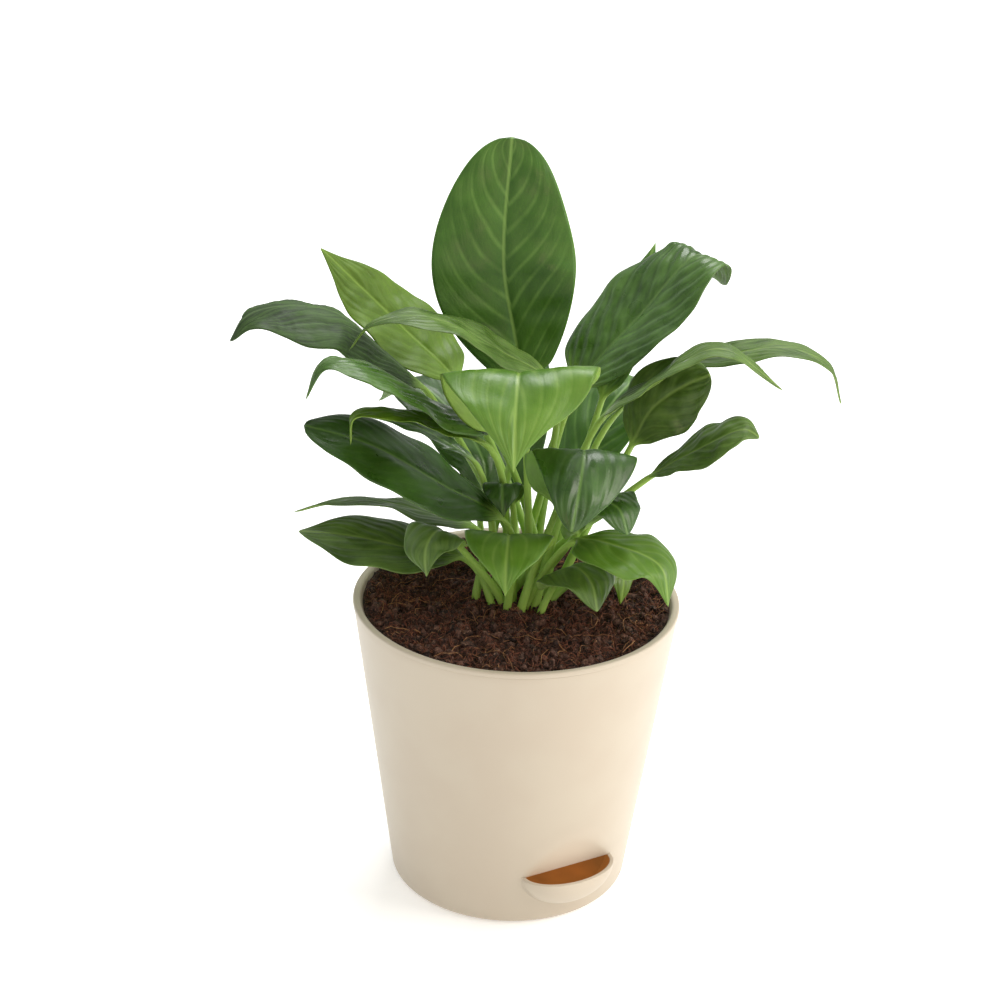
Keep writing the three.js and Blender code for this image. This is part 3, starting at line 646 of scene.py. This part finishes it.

# %% [markdown]
# ## The leaves
# Each leaf is one blade on its own stalk. Its midrib is a smooth line through a few points: the buried
# root, the soil, the collar where the blade starts, and on to the tip. The blade spreads level on both
# sides of that line, rolled, folded and drooping as each leaf is. The points are in millimetres, in the
# plant's own frame: x to its right, y to its back, z above the table. These are the same leaves as in the
# CAD, so each one stays in its place.
#
# `root` is where the stalk leaves the soil, and `line` runs from the collar to the tip. `width` is the
# greatest width. `bearing` is the way the leaf points, in degrees from the plant's right towards its
# back. `turn` rolls the blade about its midrib, and `fold` raises its two halves, both in degrees, at the
# collar and at the tip. `widest` is where the blade is widest, from 0 at the collar to 1 at the tip, and
# a greater `point` draws the tip out finer. `young` marks a leaf of new growth.

# %% The leaves, one by one
LEAVES = {
    "leaf_tall_back": dict(root=(-17.9, 11.5), width=69, bearing=90, fold=(20, 6), widest=0.51, point=0.5,
        line=[(-1, 32, 235), (-11, 44, 298), (-9, 62, 353)]),
    "leaf_right_upper": dict(root=(7.2, 15.7), width=62, bearing=32, fold=(20, 5), widest=0.42, point=0.5,
        line=[(23, 33, 235), (55, 46, 275), (80, 61, 299), (91, 75, 282)]),
    "leaf_right_hidden": dict(root=(12.9, 19.8), width=26, bearing=62, fold=(15, 5),
        line=[(37, 44, 228), (51, 70, 267), (62, 94, 294)]),
    "leaf_left_bright": dict(
        root=(11.6, 26.7), width=46, bearing=170, turn=(15, 25), fold=(15, 5), widest=0.4, point=1,
        young=True, line=[(-29, 48, 232), (-58, 61, 257), (-99, 71, 293)]),
    "leaf_left_arch": dict(
        root=(-0.4, 19.1), width=42, bearing=186, turn=(5, -12), fold=(10, 5), widest=0.45, point=1.5,
        line=[(15, 14, 246), (-9, 4, 268), (-43, -2, 286), (-69, -8, 284), (-79, -10, 272)]),
    "leaf_left_dark": dict(
        root=(6.3, 23.5), width=55, bearing=188, turn=(-3, 4), fold=(-10, -12), widest=0.55, point=0.85,
        line=[(-43, 31, 234), (-65, 24, 259), (-88, 19, 280), (-116, 11, 284), (-128, 5, 280),
              (-134, 2, 270)]),
    "leaf_left_mid": dict(
        root=(14.9, 14.1), width=48, bearing=196, turn=(-10, -6), fold=(-5, -10), widest=0.42,
        line=[(-13, 9, 226), (-42, -12, 251), (-72, -25, 273), (-89, -31, 274), (-96, -36, 258)]),
    "leaf_front_centre": dict(
        root=(6.4, 0.9), width=72, bearing=268, turn=(-28, 22), fold=(12, 5), widest=0.42, point=1.3,
        young=True, line=[(2, -7, 230), (-2, -35, 274), (-3, -57, 264), (-3, -72, 242)]),
    "leaf_right_long": dict(root=(12.1, 6.6), width=35, bearing=-4, turn=(0, 8), fold=(10, 5), widest=0.66,
        line=[(39, 32, 220), (64, 38, 247), (92, 31, 260), (123, 22, 268), (141, 17, 261), (147, 12, 245)]),
    "leaf_right_arch": dict(root=(9.1, -4.5), width=35, bearing=-12, turn=(5, 5), fold=(12, 5), widest=0.4,
        line=[(35, 12, 231), (58, 6, 254), (88, 0, 275), (118, -6, 258)]),
    "leaf_right_round": dict(
        root=(18.4, 7.5), width=37, bearing=-8, turn=(-60, -63), fold=(4, 0), widest=0.52, point=0.55,
        line=[(51, 18, 217), (60, 18, 237), (73, 17, 249), (86, 14, 257)]),
    "leaf_right_low": dict(
        root=(-3.2, 6.6), width=41, bearing=-10, turn=(-8, -5), fold=(10, 5), widest=0.6, point=0.8,
        line=[(58, 0, 209), (81, -6, 228), (101, -10, 240), (108, -12, 237)]),
    "leaf_centre_right": dict(
        root=(2.3, -9.8), width=50, bearing=284, turn=(8, 8), fold=(5, 0), widest=0.45, point=0.72,
        line=[(17, -8, 195), (28, -30, 236), (26, -54, 226), (23, -66, 212)]),
    "leaf_centre_small": dict(root=(6.8, 6.9), width=41, bearing=318, fold=(0, 0), widest=0.44, point=0.7,
        line=[(27, -5, 182), (37, -21, 207), (45, -31, 208), (49, -39, 199)]),
    "leaf_front_right": dict(root=(4.5, -4), width=44, bearing=-35, fold=(5, 0), widest=0.42,
        line=[(26, -14, 183), (46, -28, 188), (65, -38, 183), (69, -46, 167)]),
    "leaf_front_small": dict(
        root=(11.8, -11.1), width=40, bearing=-45, fold=(5, 0), widest=0.46, point=0.85,
        line=[(17, -9, 156), (26, -22, 174), (34, -34, 172), (37, -42, 161)]),
    "leaf_front_pale": dict(root=(15.7, 0.3), width=21, bearing=-45, fold=(0, 0), young=True,
        line=[(37, 8, 160), (44, 1, 168), (50, -5, 161), (49, -10, 149)]),
    "leaf_front_low": dict(
        root=(-4.2, -9.9), width=42, bearing=268, fold=(10, 5), widest=0.38, point=1.3, young=True,
        line=[(-2, -14, 169), (-4, -26, 191), (-5, -44, 187), (-5, -56, 174)]),
    "leaf_front_left": dict(root=(-5.8, -4.4), width=32, bearing=235, fold=(5, 0), widest=0.45,
        line=[(-26, -12, 176), (-37, -22, 190), (-42, -32, 185), (-41, -40, 175)]),
    "leaf_left_low": dict(
        root=(-11.5, -3.6), width=46, bearing=178, turn=(5, 10), fold=(8, 4), widest=0.5, point=0.9,
        line=[(-23, 2, 163), (-56, 2, 170), (-79, 3, 174), (-104, 6, 174)]),
    "leaf_left_thin": dict(
        root=(-19.2, 2.4), width=30, bearing=180, turn=(-5, -20), fold=(5, 5), widest=0.3,
        line=[(-18, 12, 173), (-45, 15, 182), (-71, 16, 187), (-89, 16, 185), (-108, 16, 179)]),
    "leaf_left_big": dict(
        root=(-1.7, 1.2), width=53, bearing=188, turn=(11, 15), fold=(6, 4), widest=0.52, point=0.55,
        line=[(-5, -2, 184), (-37, -7, 207), (-69, -11, 227), (-99, -15, 237)]),
    "leaf_left_wavy": dict(root=(-4.6, 26.7), width=22, bearing=190, turn=(-5, -5), fold=(5, 5),
        line=[(-14, 2, 221), (-37, -2, 234), (-62, -10, 243), (-76, -18, 243), (-77, -24, 232)]),
    "leaf_left_narrow": dict(root=(-8.6, 1.6), width=12, bearing=170, fold=(5, 5),
        line=[(-20, 13, 207), (-38, 26, 215), (-52, 33, 219), (-74, 35, 222)]),
    "leaf_inner_short": dict(root=(-3.7, 12.3), width=19, bearing=262, fold=(5, 5),
        line=[(-3, 8, 190), (-8, 2, 204), (-8, -5, 200), (-7, -10, 192)]),
    "leaf_back_right": dict(root=(14.2, 34.3), width=42, bearing=57, fold=(8, 5),
        line=[(22, 40, 167), (25, 50, 191), (55, 87, 224), (73, 113, 204)]),
    "leaf_back_left": dict(root=(-14.2, 31.8), width=43, bearing=128, fold=(8, 5),
        line=[(-19, 37, 170), (-18, 47, 195), (-53, 81, 222), (-73, 101, 203)]),
    "leaf_back_low": dict(root=(0.8, 34.9), width=35, bearing=91, fold=(8, 5),
        line=[(-2, 46, 166), (-5, 60, 189), (-1, 104, 226), (-1, 131, 204)]),
}
print("leaves:", len(LEAVES))

# %% [markdown]
# ### From a few points to a midrib
# A centripetal Catmull-Rom curve passes through every point without loops, however unevenly they are
# spaced. It is sampled finely and then measured, so that stations can be set along it by true distance.

# %% Leaf: its midrib
ROOT_DEPTH = 18  # how far the stalk goes on below the soil's top
ROOT_LEAN = 0.4  # it leaves the soil more upright than it goes on
PER_SPAN = 60  # samples from one point to the next


def catmull_rom(control):
    p = np.array(control, float)
    p = np.vstack([2 * p[0] - p[1], p, 2 * p[-1] - p[-2]])
    t = np.linspace(0, 1, PER_SPAN, endpoint=False)[:, None]
    out = []
    for a, b, c, d in zip(p, p[1:], p[2:], p[3:]):
        ab, bc, cd = (np.linalg.norm(v) ** 0.5 for v in (b - a, c - b, d - c))
        leave = ((b - a) / ab - (c - a) / (ab + bc) + (c - b) / bc) * bc
        reach = ((c - b) / bc - (d - b) / (bc + cd) + (d - c) / cd) * bc
        out.append(b + leave * t + (3 * (c - b) - 2 * leave - reach) * t ** 2
                   + (2 * (b - c) + leave + reach) * t ** 3)
    return np.vstack([*out, p[-2:-1]])


def midrib(leaf):
    """Points along the leaf's line, the share of its length at each and at the collar, and its length."""
    root = np.array([*leaf["root"], SOIL_TOP], float)
    rise = np.array(leaf["line"][0]) - root
    rise = rise / np.linalg.norm(rise) * ROOT_LEAN + [0, 0, 1]
    deep = root - rise / np.linalg.norm(rise) * ROOT_DEPTH
    line = catmull_rom([deep, root, *leaf["line"]])
    so_far = np.concatenate([[0], np.cumsum(np.linalg.norm(np.diff(line, axis=0), axis=1))])
    length, at_collar = so_far[-1], so_far[2 * PER_SPAN]
    return line, so_far / length, at_collar / length, length


def midrib_frame(leaf, line, share, u, s):
    """At each share u of a leaf's line: its place, the way to its right, and the way its face looks."""
    centre = np.stack([np.interp(u, share, line[:, k]) for k in range(3)], 1)
    tangent = np.gradient(line, share, axis=0)
    along = np.stack([np.interp(u, share, tangent[:, k]) for k in range(3)], 1)
    along /= np.linalg.norm(along, axis=1)[:, None]
    bearing = math.radians(leaf["bearing"])
    level = np.array([math.sin(bearing), -math.cos(bearing), 0])
    side = level - along * (along @ level)[:, None]
    side /= np.linalg.norm(side, axis=1)[:, None]
    rise = np.cross(side, along)
    turn = np.radians(mix(*leaf.get("turn", (0, 0)), s))[:, None]
    return centre, side * np.cos(turn) + rise * np.sin(turn), rise * np.cos(turn) - side * np.sin(turn)


print("tall leaf's line:", round(midrib(LEAVES["leaf_tall_back"])[3]), "mm")

# %% [markdown]
# ### From a midrib to a leaf
# A grid is rolled into a closed sleeve round the midrib: half of it is the blade's upper face and half
# its lower face. On the stalk the sleeve is round, and past the collar it flattens into the blade. The
# side veins leave the midrib at a slant and bend towards the tip. Between them the blade bulges a little,
# which is what catches the light, and the two faces bulge together because the blade is thin.

# %% Leaf: its side veins
# Millimetres from one side vein to the next, and the angle in degrees between a side vein and the midrib,
# where it leaves the midrib and at the margin. Leaves that hang or arch over have steep veins.
USUAL_VEINS, STEEP_VEINS = (11.5, 40, 18), (14, 22, 10)
VEINS = {"leaf_tall_back": (12, 47, 22), "leaf_right_upper": (14, 38, 22), "leaf_left_low": (14, 26, 14),
         "leaf_front_centre": (21, 26, 14), "leaf_front_low": (18, 28, 16),
         "leaf_centre_right": (16, 28, 16)}
for name in ("left_dark", "left_mid", "left_arch", "left_thin", "right_long", "right_arch"):
    VEINS["leaf_" + name] = STEEP_VEINS


def smooth_noise(x, y, seed):
    """Smooth noise from about -0.7 to 0.7, one value for every x and y."""
    return np.array([noise.noise(Vector((a, b, seed))) for a, b in zip(x, y)])


def vein_phase(name, leaf, s, across, length):
    """Counts the side veins: a whole number lies on a vein. Those of the two halves alternate."""
    gap, *angles = VEINS.get(name, USUAL_VEINS)
    slant, end = (leaf["width"] / 2 / length / math.tan(math.radians(a)) for a in angles)
    back = slant * np.abs(across) + (end - slant) / 3 * np.abs(across) ** 3
    uneven = np.where(across > 0, 0.5, 0) + 0.25 * smooth_noise(across * 1.2, s * 6, len(name))
    return length / gap * (s - back) + uneven


print("leaves with steep veins:", list(VEINS.values()).count(STEEP_VEINS))

# %% Leaf: its blade in section, in millimetres
BLADE, DROOP = 0.8, 0.15  # the blade's thickness, and how far its halves sag, as a share of their width
WAVE, WAVES = 1.2, 2.5  # height of the margin's waves, and their number
BUCKLE, BUCKLE_LENGTH = 1.3, 22  # the gentle unevenness of the whole blade
GROOVE, GROOVE_WIDTH = 0.45, 1.3  # along the midrib on the upper face
RIB, RIB_WIDTH = 1.1, 1.2  # along the midrib on the lower face
# How far the blade bulges between its veins: most leaves the usual, and these more or less.
USUAL_PLEAT = 0.4
PLEATS = {"leaf_right_upper": 1.1, "leaf_left_dark": 0.9, "leaf_left_mid": 0.6, "leaf_left_arch": 0.5,
          "leaf_left_big": 0.3, "leaf_front_centre": 0.25, "leaf_tall_back": 0.3, "leaf_front_low": 0.2}


def outline(s, leaf):
    """Half-width of a blade, as a share of its greatest, from the collar at 0 to the tip at 1."""
    along = np.sin(math.pi * s ** (math.log(0.5) / math.log(leaf.get("widest", 0.45))))
    return np.clip(along, 0, None) ** mix(0.8, leaf.get("point", 1.2), ease(s, 0.5, 1))


def blade_section(name, leaf, s, across, upper, half, phase, length):
    """Where the blade's skin lies: how far out from the midrib's line, and how far above it."""
    out = np.abs(across)
    from_rib = out * half
    fold = np.radians(mix(*leaf["fold"], s))
    lift = half * (out * np.sin(fold) - DROOP * across ** 2)
    wave = WAVE * np.sin(2 * math.pi * (WAVES * s + np.where(across > 0, 0.3, 0)))
    wave = wave * across ** 2 * np.sin(math.pi * s)
    between = np.abs((phase + 0.5) % 1 - 0.5) * 2
    room = ease(out, 0.02, 0.2) * ease(out, 1.0, 0.8) * ease(s, 0.03, 0.15) * ease(s, 1.0, 0.85)
    pleat = PLEATS.get(name, USUAL_PLEAT) * (between ** 0.75 - 0.5) * room
    buckle = BUCKLE * smooth_noise(across * 1.7, s * length / BUCKLE_LENGTH, 3 * len(name))
    buckle = buckle * np.clip(half / 12, 0, 1) * ease(out, 0.0, 0.3) * ease(s, 0.03, 0.2)
    groove = -GROOVE * np.exp(-(from_rib / GROOVE_WIDTH) ** 2) * ease(s, 0.0, 0.1) * ease(s, 1.0, 0.7)
    thick = BLADE / 2 * np.sqrt(np.clip(1 - across ** 10, 0, 1)) * np.clip(half / 0.5, 0, 1)
    rib = RIB * (1 - s) * np.exp(-(from_rib / RIB_WIDTH) ** 2)
    skin = np.where(upper, thick, -thick - rib)
    return half * across * np.cos(fold), lift + wave + pleat + buckle + groove + skin


print("halfway along, the usual blade has", round(float(outline(0.5, {})), 2), "of its full width")

# %% Leaf: the two maps that its finish reads
STALK_SPAN, VEIN_SPAN, RIB_SPAN = 100, 40, 50  # stalk mm, side veins, and mm from the midrib, to one unit


def set_maps(piece, across, along, phase, from_rib):
    """Two UV maps: where a point is on the blade, and how it lies to the veins and the midrib."""
    corner = np.empty(len(piece.data.loops), int)
    piece.data.loops.foreach_get("vertex_index", corner)
    maps = {"Blade": (across / 2 + 0.5, along), "Veins": (phase / VEIN_SPAN, from_rib / RIB_SPAN)}
    for map_name, (a, b) in maps.items():
        layer = piece.data.uv_layers.get(map_name) or piece.data.uv_layers.new(name=map_name)
        layer.data.foreach_set("uv", np.stack([a[corner], b[corner]], 1).ravel())
    old = piece.data.uv_layers.get("UVMap")
    if old:
        piece.data.uv_layers.remove(old)


def face_sides(piece, w):
    """0 for a face of the upper side and 1 for one of the lower side."""
    return [int(sum(w[i] for i in f.vertices) / len(f.vertices) > 0.5) for f in piece.data.polygons]


# %% Leaf: the builder
AROUND, ON_STALK, ON_BLADE = 88, 16, 104  # the grid's columns, and its rows on the stalk and on the blade
STALK_ROOT, STALK_COLLAR = 2.4, 1.5  # the stalk's radius at its root and at the collar
SPLIT = ON_STALK / (ON_STALK + ON_BLADE)


def make_leaf(name, leaf):
    line, share, collar, length = midrib(leaf)
    piece, w, v = sheet(name + "_blade", AROUND, ON_STALK + ON_BLADE)
    u = np.where(v < SPLIT, v / SPLIT * collar, collar + (v - SPLIT) / (1 - SPLIT) * (1 - collar))
    s = np.clip((u - collar) / (1 - collar), 0, 1)
    upper = w <= 0.5
    across = np.where(upper, 4 * w - 1, 3 - 4 * w)
    half = leaf["width"] / 2 * outline(s, leaf)
    phase = vein_phase(name, leaf, s, across, length * (1 - collar))
    flat_x, flat_y = blade_section(name, leaf, s, across, upper, half, phase, length)
    stalk = mix(STALK_ROOT, STALK_COLLAR, np.clip(u / collar, 0, 1))
    angle = math.pi * (1 - 2 * w)
    blend = ease(s, 0, 0.14)
    x = mix(stalk * np.cos(angle), flat_x, blend)
    y = mix(stalk * np.sin(angle), flat_y, blend)
    shut = np.where((v < 1e-6) | (v > 1 - 1e-6), 0, 1)  # both ends of the sleeve close to a point
    centre, right, face = midrib_frame(leaf, line, share, u, s)
    points = centre + right * (x * shut)[:, None] + face * (y * shut)[:, None]
    set_points(piece, points @ TO_PART.T * MM)
    along = np.where(v < SPLIT, (u - collar) * length / STALK_SPAN, s)
    set_maps(piece, across, along, phase, np.abs(across) * half)
    piece.data.polygons.foreach_set("material_index", face_sides(piece, w))
    clean_up(piece, 0.002)
    bpy.ops.object.shade_smooth()
    return piece


# %% [markdown]
# ## Living leaf
# A leaf is green chlorophyll under a clear waxy skin. The skin gives the cool sheen, the veins are paler
# than the tissue between them, and the midrib is palest. On the two pleated kinds the side veins are
# painted dark instead: painted shade in the furrows where they lie. The lower side is duller and more
# yellow. The stalk is light green. The blade is thin enough to glow a little, which a small amount of
# subsurface gives.

# %% Leaf finish
STALK_GREEN = "#92b552"
CLOUD_SCALE, PATCH_SCALE = 45, 90  # clouds of tone about 22 mm across, and patches of gloss of 11 mm
CELL_SCALE = 900  # the skin's cells are too fine to show, so they are drawn about 1 mm across
VEINLETS = 3  # streaks from one side vein to the next, each about 2 mm wide and 8 mm long
SUBSURFACE = {"Weight": 0.12, "Radius": (0.5, 1.0, 0.25), "Scale": 1.2 * MM}


def read_maps(add):
    """How far across the blade, how far along it, the count of side veins, and how far from the midrib."""
    found = []
    for map_name in ("Blade", "Veins"):
        found += add("SeparateXYZ", [add("UVMap", uv_map=map_name)]).node.outputs[:2]
    return found


def leaf_finish(name, deep, light, vein_and_furrow_shade, rib, roughness, veins_show, streaks):
    finish, shader, add = new_finish(name, roughness, ior=1.4)
    for socket, value in SUBSURFACE.items():
        shader.inputs["Subsurface " + socket].default_value = value
    where = add("TexCoord", out="Object")
    across, along, count, from_rib = read_maps(add)

    # The tissue, clouded, and streaked by fine veinlets: noise drawn out along the side veins.
    clouds = add("TexNoise", {"Vector": where, "Scale": CLOUD_SCALE, "Detail": 4, "Roughness": 0.55})
    cloud = add("MapRange", [clouds, 0.3, 0.7])
    count = add("Math", [count, VEIN_SPAN], operation="MULTIPLY")
    out = add("Math", [from_rib, 4.0], operation="MULTIPLY")
    drawn = add("CombineXYZ", [count, out, 0.0])
    fine = add("TexNoise", {"Vector": drawn, "Scale": VEINLETS, "Detail": 3, "Roughness": 0.5})
    streak = add("MapRange", [fine, 0.35, 0.65, -streaks, streaks])
    shade = add("Math", [streak, cloud], operation="ADD", use_clamp=True)
    tone = add("Mix", {"Factor": shade, "A": colour(deep), "B": colour(light)}, out=2, data_type="RGBA")

    # A side vein at every whole count, 2 mm wide with soft sides, fading in patches and at the margin. On
    # the pleated kinds its dark tone is painted shade in the furrow that the vein lies in.
    patches = add("TexNoise", {"Vector": where, "Scale": PATCH_SCALE, "Detail": 2})
    patchy = add("MapRange", [patches, 0.35, 0.6, 0.35, 1.0])
    near = add("Math", [count, 0.5], operation="PINGPONG")
    veins = add("MapRange", [near, 0.0, 0.2, 1.0, 0.0], interpolation_type="SMOOTHSTEP")
    off = add("Math", [add("Math", [across, 0.5], operation="SUBTRACT")], operation="ABSOLUTE")
    for less in (add("MapRange", [off, 0.3, 0.47, veins_show, 0.0]), patchy):
        veins = add("Math", [veins, less], operation="MULTIPLY")
    tone = add("Mix", {"Factor": veins, "A": tone, "B": colour(vein_and_furrow_shade)}, out=2, data_type="RGBA")

    # Over them the midrib, the pale margin, and at the blade's foot the stalk's green.
    for paint, measured, kind in (
            (rib, [from_rib, 0.2 / RIB_SPAN, 1.1 / RIB_SPAN, 0.6, 0.0], "LINEAR"),
            (rib, [off, 0.488, 0.5, 0.0, 0.6], "LINEAR"),
            (STALK_GREEN, [along, 0.0, 0.16, 1.0, 0.0], "SMOOTHSTEP")):
        amount = add("MapRange", measured, interpolation_type=kind)
        tone = add("Mix", {"Factor": amount, "A": tone, "B": colour(paint)}, out=2, data_type="RGBA")
    wire(tone, shader, "Base Color")

    # The relief is the veinlets with the skin's cells on them, and the skin is glossier in patches.
    cells = add("TexNoise", {"Vector": where, "Scale": CELL_SCALE, "Detail": 3})
    relief = add("Math", [cells, 0.35, fine], operation="MULTIPLY_ADD")
    wire(add("Bump", {"Height": relief, "Strength": 0.3, "Distance": 0.5 * MM}), shader, "Normal")
    wire(add("MapRange", [patchy, 0.35, 1.0, roughness - 0.06, roughness + 0.12]), shader, "Roughness")
    return finish


def both_sides(title, tones, roughness, veins_show, streaks):
    """The finishes of a leaf's upper and lower side."""
    deep, light, vein_and_furrow_shade, rib, below, below_light = tones.split()
    title = "peace lily leaf, " + title
    return (leaf_finish(title, deep, light, vein_and_furrow_shade, rib, roughness, veins_show, streaks),
            leaf_finish(title + ", lower side", below, below_light, rib, rib, 0.5, 0.4, 0.1))


print("the stalk's green is", [round(v, 3) for v in colour(STALK_GREEN)[:3]])

# %% The finish of each leaf
# For each kind of leaf: its title; its tones, which are the tissue from dark to light, the side veins, the
# midrib, and the lower side's tissue from dark to light; its roughness; how far its side veins and its
# streaks show; and the leaves that wear it. On the two pleated kinds the side veins' tone is dark: painted
# shade in the furrows where the veins lie.
KINDS = (
    ("deep green", "#213c0c #37591b #587436 #64843e #51702c #5e7f36", 0.32, 0.12, 0.12,
     "centre_right centre_small left_big left_narrow inner_short back_low back_left"),
    # The pleated kinds' dark side-vein tones are painted shade in the furrows.
    ("pleated", "#29460f #4e6f2f #1b300a #5c783c #587634 #66853e", 0.3, 0.35, 0.22,
     "right_upper left_mid"),
    ("dark, pleated", "#1a2e09 #3b5524 #122208 #4c6434 #4c6a2c #587634", 0.6, 0.5, 0.4, "left_dark"),
    ("mid green", "#2f5113 #43691f #789c4c #7ea04f #648a36 #769b43", 0.38, 0.32, 0.08,
     "tall_back right_hidden back_right"),
    ("olive green", "#38501a #5b7634 #829a50 #869e54 #6c8a3c #7e9a48", 0.38, 0.2, 0.22,
     "right_long right_arch right_low right_round left_arch left_thin left_low front_left front_small"),
    ("fresh green", "#436719 #5e812a #8ca652 #8aa650 #7c9c3e #8cab4c", 0.36, 0.24, 0.08,
     "front_centre front_low front_right"),
    ("yellow-green", "#49650f #617f1e #7d9a3a #7e9a3c #7c9a40 #8eaa50", 0.44, 0.14, 0.08,
     "left_bright front_pale left_wavy"),
)
FINISH_OF = {}
for *settings, wearers in KINDS:
    finishes = both_sides(*settings)
    FINISH_OF.update({"leaf_" + short: finishes for short in wearers.split()})
print("leaves with a finish:", len(FINISH_OF), "of", len(LEAVES))

# %% [markdown]
# ### Every leaf in its place
# All the leaves come from the one builder, and each replaces the plain CAD leaf of its name.

# %% Make every leaf
for name, leaf in LEAVES.items():
    blade = make_leaf(name, leaf)
    dress(blade, *FINISH_OF[name])
    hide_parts(name)
    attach(blade, "root")
print("leaves:", len(LEAVES), "faces in one:", len(blade.data.polygons))

# %% [markdown]
# ## Finish
# Every piece rides on the one body of a plant with no joints.

# %% Ride
for piece in (outer_pot, inner_pot, soil, crumbs, *strands):
    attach(piece, "root")
